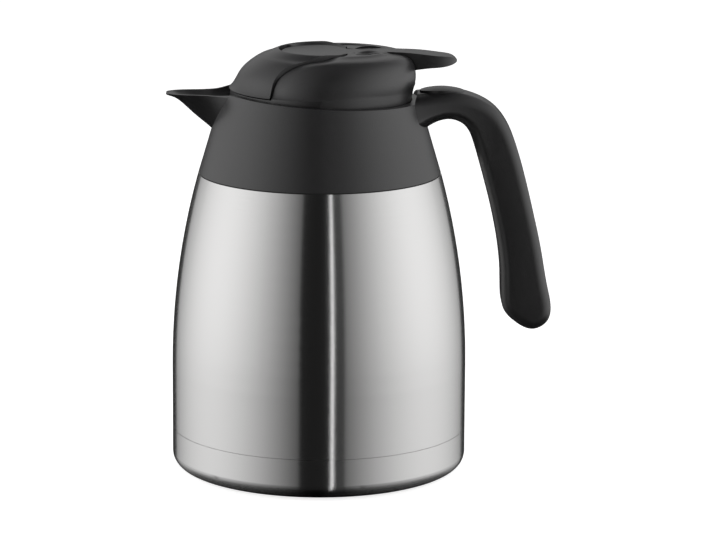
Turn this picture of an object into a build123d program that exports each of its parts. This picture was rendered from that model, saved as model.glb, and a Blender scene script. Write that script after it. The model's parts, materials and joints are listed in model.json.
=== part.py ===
"""Thermal carafe with a flip lid: a steel vacuum flask under a plastic collar with a pouring
beak, an open handle, and a screw-off lid whose front cover tips up when its lever is pressed.

Millimetres. The origin is on the flask's axis at the plane that the carafe rests on.
+Z is up, -X is towards the beak and +X towards the handle. X-Z is the mirror plane.
"""
import os
from math import cos, radians, sin, sqrt, tan

from build123d import *

# ------------------------------------------------------------------ driving dimensions
# Flask
body_radius = 77.7          # straight lower part of the steel body
straight_top = 55.0         # height where the body starts to close in
seam_radius = 63.7          # steel body where the collar begins
seam_height = 158.0
steel_wall = 0.8
cup_top = 22.1              # weld groove between the sleeve and the base cup
groove_gap = 0.3
cup_edge_radius = 7.5
cup_spigot = 4.0            # how far the base cup reaches up inside the sleeve
foot_gap = 0.6              # steel base above the resting plane
pad_inset = 19.7            # from the body's side to the pad's edge
pad_thickness = 2.0
pad_fit = 0.5
vacuum_gap = 14.0           # between the inner flask and the sleeve
flask_floor = 15.0
flask_floor_radius = 22.0
neck_bore = 37.5
neck_gap = 2.5              # between the liner's neck and the sleeve's neck
neck_height = 10.0          # neck above the shoulder's seat
liner_drop = 9.0            # liner's neck starts this far below the shoulder's seat
shoulder_rise = 17.0        # flat seat round the neck, above the seam
seat_width = 6.8
evacuation_radius = 1.2
solder_radius = 4.0
getter_radius = 7.0
getter_height = 3.0
getter_place = 18.0

# Collar and beak
collar_rise = 42.0          # from the seam up to the rim at the beak
collar_wall = 2.4
collar_slope = 16.5         # degrees from vertical
collar_rim_wall = 2.9
collar_floor = 2.5
collar_inset = 0.2          # the collar's foot stands this far inside the steel
gasket_thickness = 2.0
seam_gasket_thickness = 0.6
rim_drop = 0.4              # rim at the axis, below the beak's rim
rim_rise = 0.055            # the rim plane rises towards the beak
beak_reach = 29.2           # beyond the collar's rim
beak_wall = 2.0
channel_rise = 7.0          # floor of the pouring channel above the bore's floor
ring_thickness = 4.0        # nut that holds the collar down
ring_fit = 0.9
ring_notches = 6
notch_radius = 2.2
notch_depth = 1.6

# Handle
handle_width = 24.0
handle_round = 5.5
root_web = 2.6              # between the collar's boss and the thumb rest's pocket
grip_cover_width = 12.6
grip_cover_thickness = 2.2
grip_hollow = 11.0          # empty space behind the grip cover
thumb_rest_length = 23.0
thumb_rest_width = 17.0
thumb_rest_height = 5.6
thumb_rest_crown = 1.7      # rise of its lens-shaped top
thumb_rest_offset = 12.4    # centre of the thumb rest beyond the collar's rim
root_drop = 2.0             # floor of the thumb rest's pocket below the beak's rim
boss_width = 13.0
boss_height = 6.0
boss_length = 18.8          # beyond the collar's rim
boss_fit = 0.2
screw_radius = 1.5
screw_head_radius = 2.8
screw_head_height = 1.8

# Lid
lid_gap = 0.8               # between the lid's skirt and the collar's bore
lid_drop = 4.0              # lower edge of the lid below the beak's rim
lid_wall = 2.2
deck_rise = 2.4             # deck under the flip cover, above the beak's rim
slot_rise = 5.5             # floor of the lever's slot
skirt_gap = 4.1             # between the stopper's skirt and the collar's bore
skirt_wall = 2.2
plug_gap = 1.5
plug_length = 19.0          # reach of the plug below the flask's mouth
plug_wall = 2.0
base_thickness = 2.2
lip_height = 2.0
lip_fit = 0.6
seal_gap = 0.3              # soft parts are drawn this far from what they press on
seal_ring_thickness = 1.7
seal_ring_overlap = 1.6
plate_thickness = 2.0
port_radius = 6.0
port_wall = 1.5
port_merge = 0.5            # the pour tube's wall runs this far into the plug's wall
port_lip = 3.1
foam_fit = 0.3
lug_height = 1.7
lug_reach = 2.4
lug_angle = 15.0
lug_gap = 1.6               # vertical play between the lid's lugs and the collar's ledges
lug_step = 0.2
lug_count = 3
screw_boss_radius = 3.8
screw_inset = 6.0           # lid screws inside the plug's wall
lid_screw_depth = 7.0

# Flip cover, lever and hinge
cover_wall = 2.4
cover_rise = 3.1            # lower edge of the cover above the beak's rim
cover_split = 0.9           # running gap between the cover and the lid round it
cheek_recess = 0.8          # the cheeks lie this far inside the cover's surface
hinge_x = 26.0
hinge_rise = 18.6
hub_radius = 4.0
pin_radius = 1.5
pin_clearance = 0.05
pin_blind = 1.2             # plastic left beyond each end of the pin
ear_width = 6.0
neck_half_width = 6.6
neck_play = 0.6             # each side, between the lever's neck and the ears
dish_radius = 20.0
dish_depth = 0.9
dish_curve = 240.0
dish_rise = 22.3            # top of the lever's round head above the beak's rim
pocket_rise = 19.6          # underside of the lever's round head
pocket_plate = 2.2
lever_fit = 0.3
lever_tip = 71.4
lever_screw_ring = 13.0
lever_screw_depth = 1.4
post_radius = 4.5
post_rise = 11.0
stem_radius = 2.4
stem_length = 5.0
stem_fit = 0.4
seal_overlap = 1.1
seal_thickness = 1.8
spring_radius = 2.2
spring_wire = 0.4
spring_turns = 5
spring_pitch = 0.95
spring_play = 0.4
leg_length = 10.0
rest_width = 2.0

# ------------------------------------------------------------------ derived sizes
curve_rise = seam_height - straight_top
curve_in = body_radius - seam_radius
body_curve_radius = (curve_in ** 2 + curve_rise ** 2) / (2 * curve_in)
curve_middle = (straight_top + seam_height) / 2
pad_radius = body_radius - pad_inset
neck_radius = neck_bore + steel_wall + neck_gap
shoulder_seat = seam_height + shoulder_rise
shoulder_seat_radius = neck_radius + seat_width
neck_top = shoulder_seat + neck_height
liner_top = shoulder_seat - liner_drop
gasket_top = shoulder_seat + gasket_thickness
bore_floor = gasket_top + collar_floor
collar_bottom = seam_height + seam_gasket_thickness
collar_bottom_radius = seam_radius - collar_inset
ledge_radius = seam_radius - collar_wall - 0.5
ring_top = bore_floor + ring_thickness
mouth_top = neck_top + steel_wall
beak_rim = seam_height + collar_rise


def collar_radius(height):
    """Outside radius of the collar's cone."""
    return collar_bottom_radius - (height - collar_bottom) * tan(radians(collar_slope))


def body_radius_at(height):
    """Outside radius of the steel body."""
    rise = max(height - straight_top, 0)
    return body_radius - body_curve_radius + sqrt(body_curve_radius ** 2 - rise ** 2)


cone_rim = collar_radius(beak_rim)
collar_bore = cone_rim - collar_rim_wall
ring_radius = collar_bore - ring_fit
lid_radius = collar_bore - lid_gap
lid_bottom = beak_rim - lid_drop
deck_height = beak_rim + deck_rise
slot_floor = beak_rim + slot_rise
cover_bottom = beak_rim + cover_rise
skirt_radius = collar_bore - skirt_gap
plug_radius = neck_bore - plug_gap
plug_bottom = neck_top - plug_length
plug_bore = plug_radius - plug_wall
port_centre = -(plug_bore + port_merge - port_radius - port_wall)
plate_bottom = mouth_top + 2 * seal_gap + seal_ring_thickness
plate_top = plate_bottom + plate_thickness
lug_bottom = plate_top + lug_step
ledge_bottom = lug_bottom + lug_height + lug_gap
ledge_angles = [360.0 / lug_count * number for number in range(lug_count)]
hinge_z = beak_rim + hinge_rise
ear_inner = neck_half_width + neck_play
ear_outer = ear_inner + ear_width
pocket_floor = beak_rim + pocket_rise
boss_bottom = pocket_floor - pocket_plate
root_floor = beak_rim - root_drop
boss_top = root_floor - root_web
boss_end = cone_rim + boss_length
thumb_rest_centre = cone_rim + thumb_rest_offset
thumb_rest_top = root_floor + thumb_rest_height
screw_places = [thumb_rest_centre - 5, thumb_rest_centre + 3]


def save(part, name):
    """Label a finished piece and write it as its own STEP file."""
    part.part.label = name
    export_step(part.part, f"parts/{name}.step")


os.makedirs("parts", exist_ok=True)


# ------------------------------------------------------------------ vacuum flask
def sleeve_solid(inset, bottom):
    """Solid inside the sleeve: straight side, one long arc to the seam, a ledge for the collar,
    the shoulder and the neck."""
    with BuildPart() as solid:
        with BuildSketch(Plane.XZ):
            with BuildLine():
                wall_foot = (body_radius - inset, bottom)
                wall_knee = (body_radius - inset, straight_top)
                wall_middle = (body_radius_at(curve_middle) - inset, curve_middle)
                seam = (seam_radius - inset, seam_height - inset)
                ledge = (ledge_radius - inset, seam_height - inset)
                shoulder = (ledge_radius - inset - 3.9, seam_height + shoulder_rise / 2 - inset)
                seat = (shoulder_seat_radius - inset, shoulder_seat - inset)
                Line((0, bottom), wall_foot)
                Line(wall_foot, wall_knee)
                ThreePointArc(wall_knee, wall_middle, seam)
                Line(seam, ledge)
                ThreePointArc(ledge, shoulder, seat)
                Polyline(seat, (neck_radius - inset, shoulder_seat - inset),
                         (neck_radius - inset, neck_top), (0, neck_top), (0, bottom))
            make_face()
        revolve(axis=Axis.Z)
    return solid.part


with BuildPart() as outer_shell:
    add(sleeve_solid(0, cup_top + groove_gap))
    add(sleeve_solid(steel_wall, cup_top + groove_gap), mode=Mode.SUBTRACT)
save(outer_shell, "outer_shell")

# Base cup: closes the sleeve from below, with a spigot inside it and a well for the pad.
spigot_radius = body_radius - steel_wall
spigot_bore = spigot_radius - steel_wall
edge_start = body_radius - cup_edge_radius
edge_top = foot_gap + cup_edge_radius
well_radius = pad_radius + pad_fit
base_inside = foot_gap + 2 * steel_wall
with BuildPart() as base_cup:
    with BuildSketch(Plane.XZ):
        with BuildLine():
            Polyline((0, pad_thickness), (well_radius, pad_thickness), (well_radius, foot_gap),
                     (edge_start, foot_gap))
            RadiusArc((edge_start, foot_gap), (body_radius, edge_top), -cup_edge_radius)
            Polyline((body_radius, edge_top), (body_radius, cup_top), (spigot_radius, cup_top),
                     (spigot_radius, cup_top + cup_spigot), (spigot_bore, cup_top + cup_spigot),
                     (spigot_bore, edge_top))
            RadiusArc((spigot_bore, edge_top), (edge_start, base_inside), cup_edge_radius)
            Polyline((edge_start, base_inside), (well_radius + 1.1, base_inside),
                     (well_radius + 1.1, pad_thickness + steel_wall), (0, pad_thickness + steel_wall),
                     (0, pad_thickness))
        make_face()
    revolve(axis=Axis.Z)
    Hole(radius=evacuation_radius)
save(base_cup, "base_cup")

# Non-slip pad in the well of the base cup; its underside is the resting plane.
with BuildPart() as base_pad:
    Cylinder(pad_radius, pad_thickness, align=(Align.CENTER, Align.CENTER, Align.MIN))
save(base_pad, "base_pad")


def liner_solid(inset, top):
    """Solid inside the liner that holds the drink: rounded floor, belly, shoulder and neck."""
    wall = body_radius - steel_wall - vacuum_gap - inset
    floor = flask_floor + inset
    corner = flask_floor_radius - inset
    shoulder_foot = liner_top - 26
    belly = (straight_top + shoulder_foot) / 2
    shoulder = body_radius_at(shoulder_foot) - steel_wall - vacuum_gap - inset
    neck = neck_bore + steel_wall - inset
    with BuildPart() as solid:
        with BuildSketch(Plane.XZ):
            with BuildLine():
                Line((0, floor), (wall - corner, floor))
                RadiusArc((wall - corner, floor), (wall, floor + corner), -corner)
                Line((wall, floor + corner), (wall, straight_top))
                ThreePointArc((wall, straight_top),
                              (body_radius_at(belly) - steel_wall - vacuum_gap - inset, belly),
                              (shoulder, shoulder_foot))
                ThreePointArc((shoulder, shoulder_foot), (shoulder - 5.6, liner_top - 9), (neck, liner_top))
                Polyline((neck, liner_top), (neck, top), (0, top), (0, floor))
            make_face()
        revolve(axis=Axis.Z)
    return solid.part


# Inner flask: the liner, joined to the sleeve's neck by a flange at the mouth.
with BuildPart() as inner_flask:
    add(liner_solid(0, neck_top))
    with BuildSketch(Plane.XY.offset(neck_top)):
        Circle(neck_radius)
    extrude(amount=steel_wall)
    add(liner_solid(steel_wall, mouth_top), mode=Mode.SUBTRACT)
save(inner_flask, "inner_flask")

# Plug of the evacuation hole, and the getter dish under the liner.
with BuildPart() as vacuum_seal:
    with BuildSketch(Plane.XY.offset(pad_thickness + 0.1)):
        Circle(evacuation_radius)
    extrude(amount=steel_wall)
    with BuildSketch(Plane.XY.offset(pad_thickness + steel_wall)):
        Circle(solder_radius)
    extrude(amount=1.2)
save(vacuum_seal, "vacuum_seal")

with BuildPart() as getter:
    with BuildSketch(Plane.XY.offset(flask_floor - getter_height)):
        with Locations((getter_place, 0)):
            Circle(getter_radius)
    extrude(amount=getter_height)
save(getter, "getter")

# ------------------------------------------------------------------ collar and beak
with BuildPart() as seam_gasket:
    with BuildSketch(Plane.XY.offset(seam_height)):
        Circle(collar_bottom_radius - 0.2)
        Circle(ledge_radius + 0.3, mode=Mode.SUBTRACT)
    extrude(amount=seam_gasket_thickness)
save(seam_gasket, "seam_gasket")

with BuildPart() as neck_gasket:
    with BuildSketch(Plane.XY.offset(shoulder_seat)):
        Circle(shoulder_seat_radius - 1.0)
        Circle(neck_radius, mode=Mode.SUBTRACT)
    extrude(amount=gasket_thickness)
save(neck_gasket, "neck_gasket")

with BuildPart() as lock_ring:
    with BuildSketch(Plane.XY.offset(bore_floor)):
        Circle(ring_radius)
        Circle(neck_radius, mode=Mode.SUBTRACT)
    extrude(amount=ring_thickness)
    with BuildSketch(Plane.XY.offset(ring_top - notch_depth)):
        with PolarLocations(ring_radius, ring_notches):
            Circle(notch_radius)
    extrude(amount=notch_depth, mode=Mode.SUBTRACT)
save(lock_ring, "lock_ring")

# The beak's cross-sections: a rounded V that deepens towards the collar. Each one is given by
# its place beyond the collar's rim, half its width at the rim and its keel below the rim.
beak_shape = [(beak_reach, 3.0, 1.0), (26.3, 7.0, 2.1), (22.3, 9.0, 4.2), (17.3, 10.0, 8.7),
              (10.8, 10.8, 14.4), (2.8, 14.0, 21.6), (-5.2, 20.5, 28.2), (-13.2, 26.0, 34.0)]
beak_sections = [(cone_rim + place, half_width, beak_rim - depth)
                 for place, half_width, depth in beak_shape]


def beak_solid(inset, top, sections):
    """Loft through the beak's cross-sections, inset by its wall; its sides stand up past the rim."""
    with BuildPart() as solid:
        for reach, half_width, keel in sections:
            with BuildSketch(Plane(origin=(-reach, 0, 0), x_dir=(0, -1, 0), z_dir=(-1, 0, 0))):
                with BuildLine():
                    side = half_width - inset
                    foot = min(keel + inset, beak_rim - 0.4)
                    waist = beak_rim - 0.45 * (beak_rim - foot)
                    belly = side * 0.85
                    root = side * 0.34
                    Polyline((-side, beak_rim), (-side, top), (side, top), (side, beak_rim))
                    Bezier((side, beak_rim), (belly, waist), (root, foot), (0, foot))
                    Bezier((0, foot), (-root, foot), (-belly, waist), (-side, beak_rim))
                make_face()
        loft()
    return solid.part


def ring_arc(inner, outer, angle, bottom, height):
    """A piece of a ring, centred on an angle: a lug of the lid or a ledge of the collar."""
    with BuildPart() as solid:
        with BuildSketch(Plane.XY.offset(bottom)):
            with BuildLine():
                far = CenterArc((0, 0), outer, angle - lug_angle / 2, lug_angle)
                near = CenterArc((0, 0), inner, angle - lug_angle / 2, lug_angle)
                Line(far @ 0, near @ 0)
                Line(far @ 1, near @ 1)
            make_face()
        extrude(amount=height)
    return solid.part


def cone_solid(bottom, top, inset):
    """Solid inside the collar's cone, inset by a wall, between two heights."""
    with BuildPart() as solid:
        with BuildSketch(Plane.XZ):
            Polygon((0, bottom), (collar_radius(bottom) - inset, bottom),
                    (collar_radius(top) - inset, top), (0, top), align=None)
        revolve(axis=Axis.Z)
    return solid.part


# What is cut away above the rim: level along the beak, then falling gently towards the handle.
cone_top = beak_rim + 6
rim_at_axis = beak_rim - rim_drop
with BuildPart() as rim_cut:
    with BuildSketch(Plane.XZ.offset(-body_radius)):
        with BuildLine():
            beak_end = (-cone_rim - beak_reach - 4, beak_rim)
            beak_root = (-collar_bore - 8, beak_rim)
            collar_front = (-collar_bore + 9, rim_at_axis + rim_rise * (collar_bore - 9))
            collar_back = (body_radius, rim_at_axis - rim_rise * body_radius)
            Line(beak_end, beak_root)
            Spline(beak_root, collar_front, tangents=((1, 0), (1, -rim_rise)))
            Line(collar_front, collar_back)
            Polyline(collar_back, (body_radius, beak_rim + 30), (beak_end[0], beak_rim + 30), beak_end)
        make_face()
    extrude(amount=2 * body_radius)

# Boss behind the collar that the handle slides over, with its two screw holes.
with BuildPart() as handle_boss:
    boss_start = collar_radius(boss_top) - collar_wall
    with BuildSketch(Plane.XY.offset(boss_top - boss_height)):
        with Locations(((boss_start + boss_end) / 2, 0)):
            Rectangle(boss_end - boss_start, boss_width)
    extrude(amount=boss_height)
    with Locations(*[(place, 0, boss_top) for place in screw_places]):
        Hole(radius=screw_radius)

# Collar: cone and beak outside, hollow underneath, a floor over the shoulder and a round bore
# above it. The beak's channel runs out of the bore, and three ledges hold the lid's lugs.
cavity_top = bore_floor - collar_floor
channel_floor = bore_floor + channel_rise
channel_sections = [(reach, half_width, max(keel, channel_floor))
                    for reach, half_width, keel in beak_sections]
with BuildPart() as collar:
    add(cone_solid(collar_bottom, cone_top, 0))
    add(beak_solid(0, cone_top, beak_sections))
    add(cone_solid(collar_bottom, cavity_top, collar_wall), mode=Mode.SUBTRACT)
    with BuildSketch(Plane.XY.offset(bore_floor)):
        Circle(collar_bore)
    extrude(amount=cone_top - bore_floor + 1, mode=Mode.SUBTRACT)
    with BuildSketch(Plane.XY.offset(cavity_top)):
        Circle(neck_radius)
    extrude(amount=collar_floor, mode=Mode.SUBTRACT)
    add(beak_solid(beak_wall, cone_top + 1, channel_sections), mode=Mode.SUBTRACT)
    add(handle_boss.part)
    add(rim_cut.part, mode=Mode.SUBTRACT)
    for angle in ledge_angles:
        add(ring_arc(collar_bore - lug_reach, collar_bore + 0.5, angle, ledge_bottom, lug_height))
save(collar, "collar")

# ------------------------------------------------------------------ handle
# Side outline as one smooth line. The root's points are placed from the collar's rim, the
# grip's from the steel body's side, and all heights from the beak's rim.
root_back = [(-3.2, 0.6), (8.8, 1.6), (20.8, 1.6)]
grip_back = [(3.3, -0.8), (11.9, -5.4), (19.3, -13.7), (24.5, -25.0), (30.2, -44.2), (34.9, -63.5),
             (39.1, -82.8), (42.7, -102.3), (44.5, -112.0), (43.1, -119.8), (35.5, -124.6),
             (25.5, -120.6), (19.5, -114.0), (17.9, -105.0)]
grip_front = [(17.5, -92.5), (14.9, -73.1), (10.6, -53.8), (5.4, -34.6)]
grip_arch = [(2.4, -24.5), (-2.1, -15.8), (-9.1, -12.6)]
root_under = [(9.1, -14.2), (-3.2, -25.2)]


def placed(points, start):
    """Side-view points moved from a start line and the beak's rim to their real place."""
    return [(start + x, beak_rim + rise) for x, rise in points]


finger_side = placed(grip_front, body_radius)
handle_outline = (placed(root_back, cone_rim) + placed(grip_back, body_radius) + finger_side
                  + placed(grip_arch, body_radius) + placed(root_under, cone_rim))


def grip_band(depth, half_width):
    """A strip along the straight part of the grip, from the finger side inwards."""
    with BuildPart() as solid:
        with BuildSketch(Plane.XZ):
            with BuildLine():
                near = Spline(*finger_side)
                far = Spline(*[(x + depth, z) for x, z in finger_side])
                Line(near @ 0, far @ 0)
                Line(near @ 1, far @ 1)
            make_face()
        extrude(amount=half_width, both=True)
    return solid.part


def lens_outline(growth):
    """The thumb rest's plan outline."""
    with BuildSketch(Plane.XY.offset(root_floor)) as outline:
        with Locations((thumb_rest_centre, 0)):
            Ellipse(thumb_rest_length / 2 + growth, thumb_rest_width / 2 + growth)
    return outline.sketch


with BuildPart() as handle:
    with BuildSketch(Plane.XZ):
        with BuildLine():
            Spline(*handle_outline)
            Line(handle_outline[-1], handle_outline[0])
        make_face()
    extrude(amount=handle_width / 2, both=True)
    side_edges = handle.faces().filter_by(Axis.Y).edges()
    fillet(side_edges.filter_by(GeomType.LINE, reverse=True), radius=handle_round)
    add(cone_solid(collar_bottom, thumb_rest_top + 4, 0), mode=Mode.SUBTRACT)
    add(grip_band(grip_cover_thickness + grip_hollow, grip_cover_width / 2), mode=Mode.SUBTRACT)
    with BuildSketch(Plane.XY.offset(boss_top - boss_height - boss_fit)):
        with Locations(((cone_rim + boss_end + boss_fit) / 2, 0)):
            Rectangle(boss_end + boss_fit - cone_rim, boss_width + 2 * boss_fit)
    extrude(amount=boss_height + boss_fit, mode=Mode.SUBTRACT)
    add(lens_outline(boss_fit))
    extrude(amount=10, mode=Mode.SUBTRACT)
    with Locations(*[(place, 0, root_floor) for place in screw_places]):
        Hole(radius=screw_radius)
save(handle, "handle")

with BuildPart() as grip_cover:
    add(grip_band(grip_cover_thickness, grip_cover_width / 2))
save(grip_cover, "grip_cover")

with BuildPart() as handle_screws:
    with BuildSketch(Plane.XY.offset(boss_top - boss_height + 0.5)):
        with Locations(*[(place, 0) for place in screw_places]):
            Circle(screw_radius)
    extrude(amount=boss_height - 0.5 + root_web)
    with BuildSketch(Plane.XY.offset(root_floor)):
        with Locations(*[(place, 0) for place in screw_places]):
            Circle(screw_head_radius)
    extrude(amount=screw_head_height)
save(handle_screws, "handle_screws")

lens_radius = (thumb_rest_length / 2) ** 2 / (2 * thumb_rest_crown)
with BuildPart() as thumb_rest:
    add(lens_outline(0))
    extrude(amount=thumb_rest_height)
    with Locations((thumb_rest_centre, 0, thumb_rest_top - lens_radius)):
        Sphere(lens_radius, mode=Mode.INTERSECT)
    with BuildSketch(Plane.XY.offset(root_floor)):
        with Locations(*[(place, 0) for place in screw_places]):
            Circle(screw_head_radius + boss_fit)
    extrude(amount=screw_head_height + boss_fit, mode=Mode.SUBTRACT)
save(thumb_rest, "thumb_rest")

# ------------------------------------------------------------------ lid
# Level circles through the lid's surface: height above the beak's rim, and how far the surface
# reaches beyond the skirt's radius in front and behind.
skirt_growth = 1.4          # the skirt leans out this much behind
dome_shape = [(cover_rise, 0.0, skirt_growth), (7.0, -3.0, 2.7), (10.5, -4.9, 3.1), (14.5, -8.2, 2.7),
              (18.0, -12.7, 1.4)]
cheek_shape = [(20.0, -16.5, -0.7), (21.2, -20.0, -4.0), (21.9, -25.5, -9.5), (22.2, -33.5, -17.5)]
crown_shape = [(20.2, -16.6, -5.0), (21.9, -21.1, -14.5), (23.2, -25.7, -23.5), (24.0, -32.5, -32.5)]


def dome(shape, front_inset=0.0, wall=0.0):
    """Smooth loft through level circles; front_inset draws in the front and wall insets it all
    round and from above."""
    with BuildPart() as solid:
        for rise, front, rear in shape:
            reach_front = lid_radius + front - wall - front_inset
            reach_rear = lid_radius + rear - wall
            with BuildSketch(Plane.XY.offset(beak_rim + rise - wall)):
                with Locations(((reach_rear - reach_front) / 2, 0)):
                    Circle((reach_rear + reach_front) / 2)
        loft()
    return solid.part


def skirt(bottom, front_inset=0.0, wall=0.0):
    """The straight lower part of the lid, up to the circle that the dome starts from."""
    with BuildPart() as solid:
        for height, inset, growth in ((bottom, 0.0, 0.0), (cover_bottom - wall, front_inset, skirt_growth)):
            with BuildSketch(Plane.XY.offset(height)):
                with Locations(((growth + inset) / 2, 0)):
                    Circle(lid_radius - wall + (growth - inset) / 2)
        loft()
    return solid.part


def grown(points, growth):
    """Points of a +Y half outline, listed towards +X, moved outwards square to the outline."""
    moved = []
    for number, (x, y) in enumerate(points):
        before = points[max(number - 1, 0)]
        after = points[min(number + 1, len(points) - 1)]
        run = (Vector(*after) - Vector(*before)).normalized()
        moved.append((x - growth * run.Y, y + growth * run.X))
    return moved


cover_rear = 13.4
cover_plan = [(-60.0, 56.0), (-28.5, 56.0), (-26.4, 43.0), (-25.2, 38.6), (-22.0, 35.4), (-15.5, 33.0),
              (-8.0, 30.2), (0.0, 26.6), (8.6, 20.6), (cover_rear, 14.0)]


def cover_outline(growth, height):
    """The flip cover's plan outline: wide at the beak and narrow between the cheeks."""
    points = grown(cover_plan, growth)
    with BuildSketch(Plane.XY.offset(height)) as outline:
        with BuildLine():
            for side in (1, -1):
                Line((points[0][0], 0), (points[0][0], side * points[0][1]))
                Line((points[0][0], side * points[0][1]), (points[1][0], side * points[1][1]))
                Spline(*[(x, side * y) for x, y in points[1:]])
                Line((points[-1][0], side * points[-1][1]), (points[-1][0], 0))
        make_face()
    return outline.sketch


lever_shoulder = hinge_x - 8.0      # where the lever's head has narrowed to its neck
lever_waist = hinge_x + 10.0
head_side = [(0.0, dish_radius), (9.0, 15.4), (14.0, 8.4), (lever_shoulder, neck_half_width)]
paddle_side = [(lever_waist, neck_half_width), (56.0, neck_half_width + 2.2), (66.8, neck_half_width + 0.2)]


def lever_outline(growth, height):
    """The lever's plan outline: round head, neck between the ears, paddle with a round end."""
    radius = dish_radius + growth
    neck_side = neck_half_width + growth
    head = [(0, radius)] + grown(head_side, growth)[1:-1] + [(lever_shoulder, neck_side)]
    paddle = [(lever_waist, neck_side)] + grown(paddle_side, growth)[1:] + [(lever_tip + growth, 0)]
    with BuildSketch(Plane.XY.offset(height)) as outline:
        with BuildLine():
            for side in (1, -1):
                slant = radius * sqrt(0.5)
                ThreePointArc((-radius, 0), (-slant, side * slant), (0, side * radius))
                Spline(*[(x, side * y) for x, y in head], tangents=((1, 0), (1, 0)))
                Line((lever_shoulder, side * neck_side), (lever_waist, side * neck_side))
                Spline(*[(x, side * y) for x, y in paddle], tangents=((1, 0), (0, -side)))
        make_face()
    return outline.sketch


recess_top = 40.0


def prism(sketch, height=recess_top):
    """A plan outline extruded upwards."""
    with BuildPart() as solid:
        add(sketch)
        extrude(amount=height)
    return solid.part


def disc(places, radius, bottom, height):
    """Discs of one radius at plan places, standing on one height."""
    with BuildPart() as solid:
        with BuildSketch(Plane.XY.offset(bottom)):
            with Locations(*places):
                Circle(radius)
        extrude(amount=height)
    return solid.part


# Ears: humps beside the lever's neck that carry the pin.
ear_foot = beak_rim + 12.0
ear_shape = [(-11.2, 21.0), (-8.0, 22.2), (-3.0, 23.6), (4.0, 23.4), (10.0, 21.4)]
ear_line = placed(ear_shape, hinge_x)
ear_start = ear_line[0][0]
ear_end = ear_line[-1][0]
with BuildPart() as ears:
    with BuildSketch(Plane.XZ):
        with BuildLine():
            Spline(*ear_line, tangents=((1, 0.1), (1, -0.5)))
            Polyline(ear_line[-1], (ear_end, ear_foot), (ear_start, ear_foot), ear_line[0])
        make_face()
    extrude(amount=ear_outer, both=True)
    with BuildSketch(Plane.XY.offset(ear_foot)):
        with Locations(((ear_start + ear_end) / 2, 0)):
            Rectangle(ear_end - ear_start + 10, 2 * (ear_inner - 0.1))
    extrude(amount=20, mode=Mode.SUBTRACT)

# The lid's inside: its surface inset by the wall, less what hangs below the deck, the lever's
# slot and the ears.
with BuildPart() as lid_hollow:
    add(dome(dome_shape + cheek_shape, cheek_recess, lid_wall))
    add(skirt(lid_bottom - lid_wall, cheek_recess, lid_wall))
    add(prism(cover_outline(cover_split + lid_wall, deck_height - lid_wall)), mode=Mode.SUBTRACT)
    add(prism(lever_outline(neck_play + lid_wall, slot_floor - lid_wall)), mode=Mode.SUBTRACT)
    with BuildSketch(Plane.XY.offset(ear_foot)):
        with Locations(((ear_start + ear_end) / 2, 0)):
            Rectangle(ear_end - ear_start + 2, 2 * ear_outer)
    extrude(amount=20, mode=Mode.SUBTRACT)

port_place = [(port_centre, 0)]
screw_ring = plug_bore - screw_inset
lid_screw_places = [(screw_ring * cos(radians(angle)), screw_ring * sin(radians(angle)))
                    for angle in (0, 110, 250)]
spring_half = spring_turns * spring_pitch / 2 + spring_wire + 2 * spring_play
deck_bottom = deck_height - lid_wall
slot_bottom = slot_floor - lid_wall / 2
rest_top = hinge_z - spring_radius - spring_wire
with BuildPart() as lid_body:
    add(dome(dome_shape + cheek_shape, cheek_recess))
    add(skirt(lid_bottom, cheek_recess))
    add(ears.part)
    add(prism(cover_outline(cover_split, deck_height)), mode=Mode.SUBTRACT)
    add(prism(lever_outline(neck_play, slot_floor)), mode=Mode.SUBTRACT)
    add(lid_hollow.part, mode=Mode.SUBTRACT)
    for x, y in lid_screw_places:
        roof = slot_floor if x > cover_rear else deck_height
        add(disc([(x, y)], screw_boss_radius, plate_top, roof - lid_wall / 2 - plate_top))
    add(disc(lid_screw_places, screw_radius, plate_top, lid_screw_depth + 1), mode=Mode.SUBTRACT)
    with BuildSketch(Plane.XY.offset(slot_bottom)):
        with Locations((hinge_x - leg_length + 1.5, 0)):
            Rectangle(rest_width, 2 * spring_half)
    extrude(amount=rest_top - slot_bottom)
    add(disc(port_place, port_radius + port_wall, deck_bottom, lid_wall + port_lip))
    add(disc(port_place, port_radius, deck_bottom - 1, lid_wall + port_lip + 2), mode=Mode.SUBTRACT)
    with BuildSketch(Plane.XZ):
        with Locations((hinge_x, hinge_z)):
            Circle(pin_radius)
    extrude(amount=ear_outer - pin_blind, both=True, mode=Mode.SUBTRACT)
save(lid_body, "lid_body")

with BuildPart() as hinge_pin:
    with BuildSketch(Plane.XZ):
        with Locations((hinge_x, hinge_z)):
            Circle(pin_radius)
    extrude(amount=ear_outer - pin_blind, both=True)
save(hinge_pin, "hinge_pin")

# Stopper: plate, hollow plug, pour tube, skirt with lugs and a lip inside the lid body.
lip_radius = lid_radius - lid_wall - lip_fit
skirt_bore = skirt_radius - skirt_wall
plug_floor = plug_bottom + base_thickness
with BuildPart() as stopper_cup:
    with BuildSketch(Plane.XZ):
        Polygon((0, plate_bottom), (plug_bore, plate_bottom), (plug_bore, plug_floor),
                (plug_radius, plug_floor), (plug_radius, plate_bottom), (skirt_radius, plate_bottom),
                (skirt_radius, lid_bottom), (lip_radius, lid_bottom), (lip_radius, lid_bottom + lip_height),
                (skirt_bore, lid_bottom + lip_height), (skirt_bore, plate_top), (0, plate_top),
                align=None)
    revolve(axis=Axis.Z)
    add(disc(port_place, port_radius + port_wall, plug_floor, deck_bottom - plug_floor))
    add(disc(port_place, port_radius, plug_bottom, deck_height - plug_bottom), mode=Mode.SUBTRACT)
    add(disc(lid_screw_places, screw_radius, plate_bottom, plate_thickness), mode=Mode.SUBTRACT)
    for angle in ledge_angles:
        add(ring_arc(skirt_radius - 0.5, skirt_radius + lug_reach, angle, lug_bottom, lug_height))
save(stopper_cup, "stopper_cup")

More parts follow.
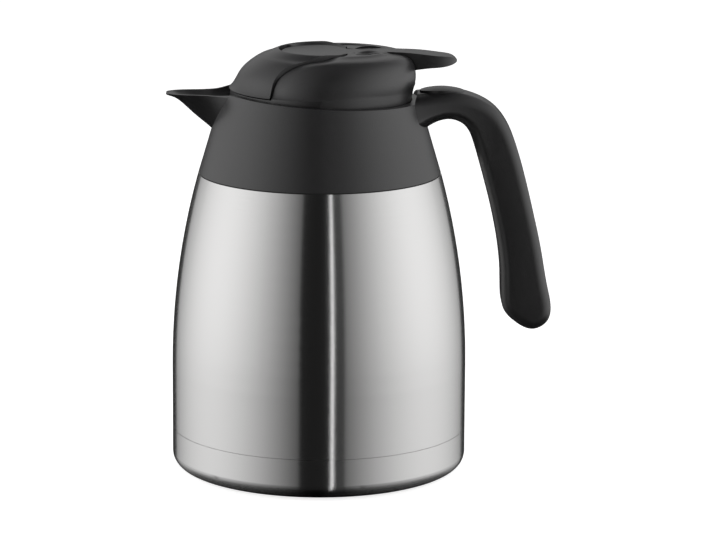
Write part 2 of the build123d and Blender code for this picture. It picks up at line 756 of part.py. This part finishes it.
with BuildPart() as stopper_base:
    with BuildSketch(Plane.XY.offset(plug_bottom)):
        Circle(plug_radius)
    extrude(amount=base_thickness)
    fillet(stopper_base.edges().sort_by(Axis.Z)[0], radius=base_thickness / 2)
    add(disc(port_place, port_radius, plug_bottom, base_thickness), mode=Mode.SUBTRACT)
save(stopper_base, "stopper_base")

foam_bottom = plug_floor + foam_fit
foam_height = plate_bottom - screw_head_height - foam_fit - foam_bottom
with BuildPart() as stopper_foam:
    with BuildSketch(Plane.XY.offset(foam_bottom)):
        Circle(plug_bore - foam_fit)
        with Locations(*port_place):
            Circle(port_radius + port_wall + foam_fit, mode=Mode.SUBTRACT)
    extrude(amount=foam_height)
save(stopper_foam, "stopper_foam")

with BuildPart() as lid_screws:
    add(disc(lid_screw_places, screw_head_radius, plate_bottom - screw_head_height, screw_head_height))
    add(disc(lid_screw_places, screw_radius, plate_bottom, plate_thickness + lid_screw_depth))
save(lid_screws, "lid_screws")

with BuildPart() as stopper_gasket:
    with BuildSketch(Plane.XY.offset(mouth_top + seal_gap)):
        Circle(neck_radius + seal_ring_overlap)
        Circle(neck_bore - 0.5, mode=Mode.SUBTRACT)
    extrude(amount=seal_ring_thickness)
save(stopper_gasket, "stopper_gasket")

# ------------------------------------------------------------------ flip cover
post_bottom = beak_rim + post_rise
lever_screw_places = [(lever_screw_ring * cos(radians(angle)), lever_screw_ring * sin(radians(angle)))
                      for angle in (90, 180, 270)]
with BuildPart() as cover_block:
    add(dome(dome_shape + crown_shape))
    add(prism(cover_outline(0, cover_bottom - 1)), mode=Mode.INTERSECT)

# The cover's inside, less what stands in it: the seat of the lever's head and the post of the
# pour seal.
with BuildPart() as cover_hollow:
    add(dome(dome_shape + crown_shape, 0, cover_wall))
    add(prism(cover_outline(8, lid_bottom)), mode=Mode.INTERSECT)
    add(prism(lever_outline(lever_fit + cover_wall, boss_bottom)), mode=Mode.SUBTRACT)
    add(disc(port_place, post_radius, post_bottom, recess_top), mode=Mode.SUBTRACT)

with BuildPart() as flip_cover:
    add(cover_block.part)
    add(cover_hollow.part, mode=Mode.SUBTRACT)
    add(prism(lever_outline(lever_fit, pocket_floor)), mode=Mode.SUBTRACT)
    add(disc(port_place, stem_radius, post_bottom, stem_length), mode=Mode.SUBTRACT)
    add(disc(lever_screw_places, screw_radius, boss_bottom, pocket_plate), mode=Mode.SUBTRACT)
save(flip_cover, "flip_cover")

# Lever: side outline times plan outline, dished head, hub on the pin. Heights above the rim.
head_end = -dish_radius - 1
lever_back = [(head_end, dish_rise + 0.1), (0.0, dish_rise), (20.0, dish_rise + 0.5), (36.0, 22.7),
              (52.0, 21.9), (64.0, 20.6), (70.0, 19.2), (lever_tip + 0.2, 17.6)]
paddle_under = [(lever_tip + 0.2, 17.2), (69.0, 16.0), (57.0, 14.4), (46.0, 12.9), (36.0, 12.6)]
lever_line = placed(lever_back, 0)
under_line = placed(paddle_under, 0)
spring_pocket = spring_radius + spring_wire + spring_play
with BuildPart() as thumb_lever:
    with BuildSketch(Plane.XZ):
        with BuildLine():
            Spline(*lever_line)
            Line(lever_line[-1], under_line[0])
            Spline(*under_line)
            Polyline(under_line[-1], (hinge_x, hinge_z - hub_radius), (hinge_x - 4.5, hinge_z - 2.6),
                     (cover_rear + 1.6, pocket_floor), (head_end, pocket_floor), lever_line[0])
        make_face()
    extrude(amount=dish_radius + 1, both=True)
    add(prism(lever_outline(0, slot_floor)), mode=Mode.INTERSECT)
    with Locations((-1.0, 0, beak_rim + dish_rise - dish_depth + dish_curve)):
        Sphere(dish_curve, mode=Mode.SUBTRACT)
    with BuildSketch(Plane.XZ):
        with Locations((hinge_x, hinge_z)):
            Circle(pin_radius + pin_clearance)
    extrude(amount=ear_outer, both=True, mode=Mode.SUBTRACT)
    with BuildSketch(Plane.XZ):
        with Locations((hinge_x, hinge_z)):
            Circle(spring_pocket)
        with Locations((hinge_x, hinge_z - 5)):
            Rectangle(2 * spring_pocket, 10)
        with Locations((hinge_x, hinge_z - 4)):
            Rectangle(2 * leg_length + 2, 5.2)
    extrude(amount=spring_half, both=True, mode=Mode.SUBTRACT)
    add(disc(lever_screw_places, screw_radius, pocket_floor, lever_screw_depth), mode=Mode.SUBTRACT)
save(thumb_lever, "thumb_lever")

with BuildPart() as lever_screws:
    add(disc(lever_screw_places, screw_head_radius, boss_bottom - screw_head_height, screw_head_height))
    add(disc(lever_screw_places, screw_radius, boss_bottom, pocket_plate + lever_screw_depth))
save(lever_screws, "lever_screws")

# Pour seal over the lid's port, and its holder with a stem in the cover's post.
lip_top = deck_height + port_lip
seal_radius = port_radius + port_wall + seal_overlap
holder_bottom = lip_top + seal_gap + seal_thickness
with BuildPart() as pour_seal:
    add(disc(port_place, seal_radius, lip_top + seal_gap, seal_thickness))
save(pour_seal, "pour_seal")

with BuildPart() as seal_holder:
    add(disc(port_place, seal_radius, holder_bottom, post_bottom - holder_bottom))
    add(disc(port_place, stem_radius, post_bottom, stem_length - stem_fit))
save(seal_holder, "seal_holder")

# Torsion spring on the pin: a coil and two legs, one on its rest in the slot and one under the
# lever's neck.
coil_start = -spring_turns * spring_pitch / 2
with BuildPart() as return_spring:
    with BuildLine():
        coil = Helix(spring_pitch, spring_turns * spring_pitch, spring_radius,
                     center=(hinge_x, coil_start, hinge_z), direction=(0, 1, 0))
    with BuildSketch(Plane(origin=coil @ 0, z_dir=coil % 0)):
        Circle(spring_wire)
    sweep(path=coil)
    for end, heading in ((coil @ 0, -(coil % 0)), (coil @ 1, coil % 1)):
        with BuildSketch(Plane(origin=end, z_dir=heading)):
            Circle(spring_wire)
        extrude(amount=leg_length - 1)
return_spring.part = return_spring.part.rotate(Axis((hinge_x, 0, hinge_z), (0, 1, 0)), 180)
save(return_spring, "return_spring")
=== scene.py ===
"""Looks of the thermal carafe: finishes, reshaped mouldings, studio light and camera."""
import json
import math

import bmesh
import bpy
from mathutils import Matrix, Vector
from mathutils.bvhtree import BVHTree


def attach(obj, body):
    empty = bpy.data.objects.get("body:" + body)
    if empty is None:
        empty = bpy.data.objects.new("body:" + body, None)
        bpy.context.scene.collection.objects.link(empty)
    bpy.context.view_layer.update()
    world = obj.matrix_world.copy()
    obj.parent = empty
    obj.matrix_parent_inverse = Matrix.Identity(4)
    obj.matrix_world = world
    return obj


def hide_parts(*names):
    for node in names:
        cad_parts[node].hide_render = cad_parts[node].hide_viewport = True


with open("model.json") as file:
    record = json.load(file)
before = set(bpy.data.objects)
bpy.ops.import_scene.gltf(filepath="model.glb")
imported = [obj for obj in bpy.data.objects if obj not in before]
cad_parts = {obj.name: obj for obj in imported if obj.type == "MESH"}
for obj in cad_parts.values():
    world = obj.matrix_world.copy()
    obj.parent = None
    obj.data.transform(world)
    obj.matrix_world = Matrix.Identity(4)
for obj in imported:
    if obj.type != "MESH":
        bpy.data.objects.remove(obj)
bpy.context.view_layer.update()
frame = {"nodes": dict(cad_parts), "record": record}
nodes = frame["nodes"]


# ------------------------------------------------------------------ node helpers
def new_material(name):
    """A material with its fresh node tree and its principled shader."""
    material = bpy.data.materials.new(name)
    material.use_nodes = True
    tree = material.node_tree
    tree.nodes.clear()
    output = tree.nodes.new("ShaderNodeOutputMaterial")
    shader = tree.nodes.new("ShaderNodeBsdfPrincipled")
    tree.links.new(shader.outputs["BSDF"], output.inputs["Surface"])
    return material, tree, shader


def node(tree, kind, **settings):
    """A node with its settings, such as its operation or its data type."""
    made = tree.nodes.new(kind)
    for key, value in settings.items():
        setattr(made, key, value)
    return made


def math_node(tree, operation, first, second=None):
    """A Math node; each operand is a number or a socket."""
    made = node(tree, "ShaderNodeMath", operation=operation)
    for place, operand in enumerate((first, second)):
        if operand is None:
            continue
        if isinstance(operand, (int, float)):
            made.inputs[place].default_value = operand
        else:
            tree.links.new(operand, made.inputs[place])
    return made.outputs[0]


def object_point(tree):
    return node(tree, "ShaderNodeTexCoord").outputs["Object"]


def noise(tree, vector, scale, detail, roughness=0.5):
    """Noise at a point."""
    made = node(tree, "ShaderNodeTexNoise")
    made.inputs["Scale"].default_value = scale
    made.inputs["Detail"].default_value = detail
    made.inputs["Roughness"].default_value = roughness
    tree.links.new(vector, made.inputs["Vector"])
    return made.outputs["Fac"]


def remap(tree, value, low, high, start=0.0, end=1.0):
    """Go from low to high while the value goes from start to end."""
    made = node(tree, "ShaderNodeMapRange")
    for key, number in (("From Min", start), ("From Max", end), ("To Min", low), ("To Max", high)):
        made.inputs[key].default_value = number
    tree.links.new(value, made.inputs["Value"])
    return made.outputs["Result"]


def tint(tree, factor, dark, light):
    """A colour between two, by a factor."""
    made = node(tree, "ShaderNodeMix", data_type="RGBA")
    made.inputs["A"].default_value = (*dark, 1)
    made.inputs["B"].default_value = (*light, 1)
    tree.links.new(factor, made.inputs["Factor"])
    return made.outputs["Result"]


def bump(tree, shader, height, strength, depth):
    """Fine relief on the surface, up to a depth in metres."""
    made = node(tree, "ShaderNodeBump")
    made.inputs["Strength"].default_value = strength
    made.inputs["Distance"].default_value = depth
    tree.links.new(height, made.inputs["Height"])
    tree.links.new(made.outputs["Normal"], shader.inputs["Normal"])


# ------------------------------------------------------------------ finishes
# Patterns are in cells per metre and reliefs in metres. Only the scratches' pattern is laid round a
# circle of radius one, with the height stretched, so that they run round the axis.
cloud_pattern = 38
spark_grain = 1900
spark_grain_depth = 0.00012
height_stretch = 900
scratch_pattern = 3.0
scratch_roughness = 0.65
scratch_depth = 0.00006
drawn_grain = 700


def scaled(colour, share):
    return [min(channel * share, 1) for channel in colour]


def moulded_plastic(name, colour, roughness, grain, specular=0.5):
    """Injection-moulded plastic: fine spark-eroded grain, faint cloudiness in gloss and colour."""
    material, tree, shader = new_material(name)
    point = object_point(tree)
    cloud = noise(tree, point, cloud_pattern, 3)
    tree.links.new(tint(tree, cloud, colour, scaled(colour, 1.12)), shader.inputs["Base Color"])
    tree.links.new(remap(tree, cloud, roughness - 0.03, roughness + 0.03), shader.inputs["Roughness"])
    shader.inputs["Specular IOR Level"].default_value = specular
    bump(tree, shader, noise(tree, point, spark_grain, 2), grain, spark_grain_depth)
    return material


def brushed_steel(name, colour, roughness, anisotropy):
    """Stainless steel brushed round the axis: fine rings of scratches and a soft vertical spread."""
    material, tree, shader = new_material(name)
    split = node(tree, "ShaderNodeSeparateXYZ")
    tree.links.new(object_point(tree), split.inputs["Vector"])
    angle = math_node(tree, "ARCTAN2", split.outputs["Y"], split.outputs["X"])
    stretched = math_node(tree, "MULTIPLY", split.outputs["Z"], height_stretch)
    unrolled = node(tree, "ShaderNodeCombineXYZ")
    tree.links.new(math_node(tree, "SINE", angle), unrolled.inputs["X"])
    tree.links.new(math_node(tree, "COSINE", angle), unrolled.inputs["Y"])
    tree.links.new(stretched, unrolled.inputs["Z"])
    scratches = noise(tree, unrolled.outputs["Vector"], scratch_pattern, 4, scratch_roughness)
    tree.links.new(tint(tree, scratches, scaled(colour, 0.94), scaled(colour, 1.05)),
                   shader.inputs["Base Color"])
    tree.links.new(remap(tree, scratches, roughness * 0.8, roughness * 1.2), shader.inputs["Roughness"])
    shader.inputs["Metallic"].default_value = 1.0
    shader.inputs["Anisotropic"].default_value = anisotropy
    tangent = node(tree, "ShaderNodeTangent", direction_type="RADIAL", axis="Z")
    tree.links.new(tangent.outputs["Tangent"], shader.inputs["Tangent"])
    shader.inputs["Anisotropic Rotation"].default_value = 0.25
    bump(tree, shader, scratches, 0.06, scratch_depth)
    return material


def plain_metal(name, colour, roughness):
    """Small hardware: turned or drawn metal with a faint grain."""
    material, tree, shader = new_material(name)
    grain = noise(tree, object_point(tree), drawn_grain, 3)
    tree.links.new(tint(tree, grain, scaled(colour, 0.9), colour), shader.inputs["Base Color"])
    tree.links.new(remap(tree, grain, roughness - 0.05, roughness + 0.05), shader.inputs["Roughness"])
    shader.inputs["Metallic"].default_value = 1.0
    return material


finishes = {
    "plastic": moulded_plastic("charcoal_plastic", (0.018, 0.0175, 0.0185), 0.36, 0.35, 1.0),
    "inner_plastic": moulded_plastic("black_inner_plastic", (0.024, 0.024, 0.025), 0.38, 0.2),
    "shell_steel": brushed_steel("brushed_steel", (0.79, 0.785, 0.78), 0.22, 1.0),
    "liner_steel": brushed_steel("satin_liner_steel", (0.74, 0.74, 0.735), 0.34, 0.6),
    "hardware": plain_metal("stainless_hardware", (0.66, 0.66, 0.65), 0.3),
    "silicone": moulded_plastic("grey_silicone", (0.42, 0.43, 0.44), 0.55, 0.1),
    "pad_rubber": moulded_plastic("pad_rubber", (0.03, 0.03, 0.031), 0.75, 0.5),
    "seam_rubber": moulded_plastic("seam_rubber", (0.02, 0.02, 0.02), 0.7, 0.3),
    "foam": moulded_plastic("closed_cell_foam", (0.72, 0.71, 0.68), 0.85, 0.8),
    "solder": plain_metal("solder", (0.5, 0.5, 0.5), 0.5),
    "getter_metal": plain_metal("getter_metal", (0.32, 0.32, 0.32), 0.6),
}
slot_of = {subpart["node"]: subpart["material_slot"] for subpart in frame["record"]["subparts"]}
for node_name, material_slot in slot_of.items():
    mesh = nodes[node_name].data
    mesh.materials.clear()
    mesh.materials.append(finishes[material_slot])


# ------------------------------------------------------------------ reshaped mouldings
# They are shaped in millimetres and brought back to metres at the end.
millimetre = 0.001
weld_distance = 0.001
cut_tolerance = 0.0005
crease = math.radians(32)


def merged_copy(node_name):
    """A moulding's own mesh in millimetres with its doubles merged, ready to be shaped."""
    work = bmesh.new()
    work.from_mesh(nodes[node_name].data)
    for corner in work.verts:
        corner.co /= millimetre
    bmesh.ops.remove_doubles(work, verts=work.verts, dist=weld_distance)
    return work


def slice_through(work, normal, offsets, wanted):
    """Cut the wanted faces by parallel planes, so that they can bend smoothly."""
    direction = Vector(normal)
    for offset in offsets:
        faces = [face for face in work.faces if wanted(face.calc_center_median())]
        edges = dict.fromkeys(edge for face in faces for edge in face.edges)
        corners = dict.fromkeys(corner for face in faces for corner in face.verts)
        bmesh.ops.bisect_plane(work, geom=list(corners) + list(edges) + faces, dist=cut_tolerance,
                               plane_co=direction * offset, plane_no=direction)


def steps(first, last, apart):
    """Evenly spaced places from the first to the last."""
    count = round((last - first) / apart)
    return [first + (last - first) * number / count for number in range(count + 1)]


def fade(value, start, end):
    """Smooth step from 0 at start to 1 at end."""
    share = min(max((value - start) / (end - start), 0.0), 1.0)
    return share * share * (3 - 2 * share)


def finished_piece(name, work, body, node_name):
    """Turn the shaped mesh into a piece that stands for its node, shaded smooth up to a crease."""
    bmesh.ops.triangulate(work, faces=work.faces)
    bmesh.ops.scale(work, verts=work.verts, vec=(millimetre,) * 3)
    for face in work.faces:
        face.smooth = True
    for edge in work.edges:
        edge.smooth = edge.is_manifold and edge.calc_face_angle(0) < crease
    mesh = bpy.data.meshes.new(name)
    work.to_mesh(mesh)
    work.free()
    piece = bpy.data.objects.new(name, mesh)
    bpy.context.scene.collection.objects.link(piece)
    material_slot = slot_of[node_name]
    mesh.materials.append(finishes[material_slot])
    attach(piece, body)
    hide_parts(node_name)
    return piece


# Collar's cone: its foot on the seam, and how fast it narrows.
seam_line = 158.6
cone_foot = 63.5
cone_slope = math.tan(math.radians(16.5))


def cone_at(height):
    """The cone's radius at a height."""
    return cone_foot - (height - seam_line) * cone_slope


# Handle: its root widens towards the collar and lies round the cone.
root_start, root_end = 48, 92           # from the collar to where the arm keeps its own width
root_foot, root_top = 165, 203
cut_foot, cut_top = 176, 202            # the heights between which the root is cut for bending
rest_side = 8.8                         # half width that stays as it is, under the thumb rest
upper_widening, lower_widening = 1.3, 2.2
widening_height = 16
bend_end, bend_start = 54, 78           # between these the root takes up the cone's curve


def near_root(point):
    return point.x < root_end and point.z > root_foot


handle_work = merged_copy("handle")
slice_through(handle_work, (1, 0, 0), steps(root_start, root_end, 2), near_root)
slice_through(handle_work, (0, 0, 1), steps(cut_foot, cut_top, 2), near_root)
for corner in handle_work.verts:
    x, y, z = corner.co
    side = abs(y)
    if side > rest_side and near_root(corner.co):
        towards_collar = min((root_end - x) / (root_end - root_start), 1.0)
        depth = min(max((root_top - z) / widening_height, 0.0), 1.0)
        widening = 1 + towards_collar ** 2 * (upper_widening + lower_widening * depth)
        wide = rest_side + (side - rest_side) * widening
        cone = cone_at(z)
        pull = math.sqrt(max(cone ** 2 - wide ** 2, 0)) - math.sqrt(cone ** 2 - side ** 2)
        corner.co.y = math.copysign(wide, y)
        corner.co.x += pull * fade(x, bend_start, bend_end)
handle_piece = finished_piece("handle_moulding", handle_work, "root", "handle")
handle_piece.visible_glossy = False
nodes["grip_cover"].visible_glossy = False

# Lid: the cheeks dip towards the cover's edge, which leaves a deep soft groove beside it. The edge
# is given in plan, from the flank inwards to the lever; the part that dips ends before the ears.
cover_edge = [(-28.5, 56.0), (-26.4, 43.0), (-25.2, 38.6), (-22.0, 35.4), (-15.5, 33.0),
              (-8.0, 30.2), (0.0, 26.6), (8.6, 20.6), (13.4, 14.0)]
dip_depth = 1.5
dip_reach = 7
dip_foot, dip_full_height = 202.0, 208.0
dip_rear, dip_full_rear = 16, 2
dip_inside, dip_full_side = 10, 18
refined_front, refined_rear = -32, 20   # the stretch of the lid that gets a finer mesh
refined_edge = 2.2
flank_start, flank_full = 33, 46        # between these half widths the dip turns from down to inwards
flank_turn = math.radians(72)


def from_cover_edge(x, y):
    """Distance in plan from the cover's edge."""
    point = Vector((x, abs(y)))
    nearest = math.inf
    for first, last in zip(cover_edge, cover_edge[1:]):
        start, run = Vector(first), Vector(last) - Vector(first)
        share = min(max((point - start).dot(run) / run.length_squared, 0.0), 1.0)
        nearest = min(nearest, (point - start - run * share).length)
    return nearest


def refine(work, longest, wanted, rounds):
    """Split the long edges of the wanted part, so that it can bend smoothly."""
    for _ in range(rounds):
        long_edges = [edge for edge in work.edges if edge.calc_length() > longest
                      and wanted((edge.verts[0].co + edge.verts[1].co) / 2)]
        if not long_edges:
            break
        bmesh.ops.subdivide_edges(work, edges=long_edges, cuts=1)
        bmesh.ops.triangulate(work, faces=[face for face in work.faces if len(face.verts) > 3])


def near_cover(point):
    return (point.z > dip_foot and refined_front < point.x < refined_rear
            and abs(point.y) > dip_inside)


lid_work = merged_copy("lid_body")
refine(lid_work, refined_edge, near_cover, rounds=3)
for corner in lid_work.verts:
    x, y, z = corner.co
    if near_cover(corner.co):
        dip = dip_depth * math.exp(-(from_cover_edge(x, y) / dip_reach) ** 2)
        dip *= (fade(z, dip_foot, dip_full_height) * fade(x, dip_rear, dip_full_rear)
                * fade(abs(y), dip_inside, dip_full_side))
        turn = flank_turn * fade(abs(y), flank_start, flank_full)
        corner.co.y -= math.copysign(dip * math.sin(turn), y)
        corner.co.z -= dip * math.cos(turn)

# The ears beside the lever slope down to the cheeks, so that no step shows there.
ear_front, ear_rear = 14.5, 36.4
ear_inner_wall, ear_outer_wall = 7.0, 13.4
ear_foot = 219.5
slope_start, slope_end = 8.0, 13.2
cut_inside, cut_outside = 8, 13
ear_edge = 0.15                         # what is left of an ear's height at its outer side
beside_ear = 14.2                       # half width at which the cheek's height is felt from above
above_lid = 240


def on_ear(point):
    return (ear_front < point.x < ear_rear and ear_inner_wall < abs(point.y) < ear_outer_wall
            and point.z > ear_foot)


slice_through(lid_work, (0, 1, 0),
              steps(-cut_outside, -cut_inside, 1) + steps(cut_inside, cut_outside, 1), on_ear)
lid_surface = BVHTree.FromBMesh(lid_work)
downwards = Vector((0, 0, -1))
for corner in lid_work.verts:
    x, y, z = corner.co
    if on_ear(corner.co):
        start = Vector((x, math.copysign(beside_ear, y), above_lid))
        cheek = lid_surface.ray_cast(start, downwards)[0].z
        lowered = z + (cheek + ear_edge - z) * fade(abs(y), slope_start, slope_end)
        corner.co.z = min(z, lowered)
finished_piece("lid_moulding", lid_work, "lid", "lid_body")

# Cover: a solid wall at the front of the lever's pocket, between the dish and the cover's shell. Its
# profile gives distances from the axis and heights; it is spun round the axis between two angles.
wall_profile = [(22.05, 218.9), (24.5, 218.5), (24.5, 221.2), (23.0, 222.3), (22.05, 223.1)]
wall_start, wall_end = math.radians(143), math.radians(217)
wall_steps = 37
cover_work = merged_copy("flip_cover")
profile_corners = [cover_work.verts.new((away * math.cos(wall_start), away * math.sin(wall_start), height))
                   for away, height in wall_profile]
profile_face = cover_work.faces.new(profile_corners)
untouched = set(cover_work.faces) - {profile_face}
bmesh.ops.spin(cover_work, geom=profile_corners + list(profile_face.edges) + [profile_face],
               cent=(0, 0, 0), axis=(0, 0, 1), angle=wall_end - wall_start, steps=wall_steps)
wall_faces = [face for face in cover_work.faces if face not in untouched]
bmesh.ops.recalc_face_normals(cover_work, faces=wall_faces)
finished_piece("cover_moulding", cover_work, "flip", "flip_cover")


# ------------------------------------------------------------------ studio
def emitter(name, set_strength):
    """A glowing material; the second function sets how brightly it glows."""
    material = bpy.data.materials.new(name)
    material.use_nodes = True
    tree = material.node_tree
    tree.nodes.clear()
    output = tree.nodes.new("ShaderNodeOutputMaterial")
    glow = tree.nodes.new("ShaderNodeEmission")
    set_strength(tree, glow)
    tree.links.new(glow.outputs["Emission"], output.inputs["Surface"])
    return material


def stage_piece(name, mesh_maker, material):
    """Something that belongs to the picture and not to the carafe."""
    work = bmesh.new()
    mesh_maker(work)
    mesh = bpy.data.meshes.new(name)
    work.to_mesh(mesh)
    work.free()
    piece = bpy.data.objects.new(name, mesh)
    bpy.context.scene.collection.objects.link(piece)
    mesh.materials.append(material)
    return piece


def floor_material():
    """White floor that keeps a soft shadow: most of its white is its own glow to the camera."""
    material, tree, shader = new_material("white_floor")
    shader.inputs["Base Color"].default_value = (0.9, 0.9, 0.9, 1)
    shader.inputs["Roughness"].default_value = 0.9
    shader.inputs["Specular IOR Level"].default_value = 0.0
    path = node(tree, "ShaderNodeLightPath")
    glow = node(tree, "ShaderNodeEmission")
    tree.links.new(path.outputs["Is Camera Ray"], glow.inputs["Strength"])
    glow.inputs["Color"].default_value = (0.8, 0.8, 0.8, 1)
    both = node(tree, "ShaderNodeAddShader")
    tree.links.new(shader.outputs["BSDF"], both.inputs[0])
    tree.links.new(glow.outputs["Emission"], both.inputs[1])
    output = next(made for made in tree.nodes if made.type == "OUTPUT_MATERIAL")
    tree.links.new(both.outputs["Shader"], output.inputs["Surface"])
    return material


def floor_mesh(work):
    bmesh.ops.create_grid(work, x_segments=1, y_segments=1, size=30)


floor = stage_piece("floor", floor_mesh, floor_material())
floor.visible_glossy = False

# Reflection tent round the object, which only glossy reflections see. Its cloth is brightest at
# both sides and dark in front, above and below; black and white cards stand inside it.
tent_radius = 12.0
side_level, falloff = 1.08, 1.5
ground_share, ground_height, full_height = 0.05, -6.4, -3.0


def tent_cloth(tree, glow):
    """Light level by how far a direction points sideways, fading towards the ground."""
    split = node(tree, "ShaderNodeSeparateXYZ")
    tree.links.new(object_point(tree), split.inputs["Vector"])
    sideways = math_node(tree, "ABSOLUTE", math_node(tree, "DIVIDE", split.outputs["X"], tent_radius))
    level = math_node(tree, "MULTIPLY", math_node(tree, "POWER", sideways, falloff), side_level)
    below = remap(tree, split.outputs["Z"], ground_share, 1.0, ground_height, full_height)
    tree.links.new(math_node(tree, "MULTIPLY", level, below), glow.inputs["Strength"])


def tent_mesh(work):
    bmesh.ops.create_uvsphere(work, u_segments=96, v_segments=48, radius=tent_radius)


def only_in_reflections(piece):
    for ray in ("camera", "diffuse", "shadow", "transmission", "volume_scatter"):
        setattr(piece, f"visible_{ray}", False)


only_in_reflections(stage_piece("reflection_tent", tent_mesh, emitter("tent_cloth", tent_cloth)))


def plain_level(level):
    """The same glow all over."""
    def set_level(tree, glow):
        glow.inputs["Strength"].default_value = level
    return set_level


def card(name, start, end, radius, level, low=-4.5, high=4.5):
    """Upright curved card between two angles, counted in degrees from the camera towards +X."""
    def mesh_of(work):
        angle = math.radians(start)
        foot = work.verts.new((radius * math.sin(angle), -radius * math.cos(angle), low))
        top = work.verts.new((foot.co.x, foot.co.y, high))
        edge = work.edges.new((foot, top))
        bmesh.ops.spin(work, geom=[foot, top, edge], cent=(0, 0, 0), axis=(0, 0, 1),
                       angle=math.radians(end - start), steps=24)

    only_in_reflections(stage_piece(name, mesh_of, emitter(name, plain_level(level))))


# In front a dark card with a lighter edge and a slit of light. Behind, a dark card low down and a lit
# cloth above it.
card("front_card", -15, 20, 5.6, 0.014)
card("front_card_edge", 12, 20, 5.5, 0.05)
card("slit_light", 9.6, 11.2, 5.4, 2.0)
card("back_card", 150, 210, 5.6, 0.02, high=0.0)
card("back_cloth", 130, 230, 5.7, 0.5, low=0.75, high=4.0)


def area_light(name, place, target, size, watts):
    """A softbox aimed at a target, which shows in no reflection."""
    lamp = bpy.data.lights.new(name, "AREA")
    lamp.shape = "RECTANGLE"
    lamp.size, lamp.size_y = size
    lamp.energy = watts
    holder = bpy.data.objects.new(name, lamp)
    bpy.context.scene.collection.objects.link(holder)
    holder.location = place
    holder.rotation_euler = (Vector(target) - Vector(place)).to_track_quat("-Z", "Y").to_euler()
    holder.visible_glossy = False


area_light("left_box", (-2.0, -0.3, 1.0), (0, 0, 0.15), (1.2, 1.6), 14)
area_light("right_box", (2.0, -0.3, 1.0), (0, 0, 0.15), (1.2, 1.6), 14)
area_light("top_box", (0.0, 0.5, 2.2), (0, 0, 0.1), (1.6, 1.6), 14)

# The room is white to the camera and in reflections, and only a faint fill light otherwise.
world = bpy.data.worlds.new("studio")
bpy.context.scene.world = world
world.use_nodes = True
tree = world.node_tree
tree.nodes.clear()
path = tree.nodes.new("ShaderNodeLightPath")
reflected = math_node(tree, "MAXIMUM", path.outputs["Is Glossy Ray"], path.outputs["Is Transmission Ray"])
seen = math_node(tree, "MAXIMUM", path.outputs["Is Camera Ray"], reflected)
sky = tree.nodes.new("ShaderNodeBackground")
sky.inputs["Color"].default_value = (1, 1, 1, 1)
tree.links.new(remap(tree, seen, 0.1, 1.0), sky.inputs["Strength"])
out = tree.nodes.new("ShaderNodeOutputWorld")
tree.links.new(sky.outputs["Background"], out.inputs["Surface"])

# ------------------------------------------------------------------ camera
# It looks down by the pitch, turns towards +X by the yaw and tilts by the roll.
camera_distance = 1.8616
camera_height = 0.5071
pitch, yaw, roll = (math.radians(angle) for angle in (12.18, 0.628, 0.357))
forward = Vector((math.sin(yaw) * math.cos(pitch), math.cos(yaw) * math.cos(pitch), -math.sin(pitch)))
level_right = Vector((math.cos(yaw), -math.sin(yaw), 0))
level_up = level_right.cross(forward)
right = level_right * math.cos(roll) + level_up * math.sin(roll)
up = level_up * math.cos(roll) - level_right * math.sin(roll)
lens_data = bpy.data.cameras.new("camera")
lens_data.sensor_width = 36
lens_data.lens = 181.23
camera = bpy.data.objects.new("camera", lens_data)
bpy.context.scene.collection.objects.link(camera)
camera.matrix_world = Matrix(((right.x, up.x, -forward.x, 0), (right.y, up.y, -forward.y, -camera_distance),
                              (right.z, up.z, -forward.z, camera_height), (0, 0, 0, 1)))
bpy.context.scene.camera = camera
bpy.context.scene.view_settings.view_transform = "Standard"
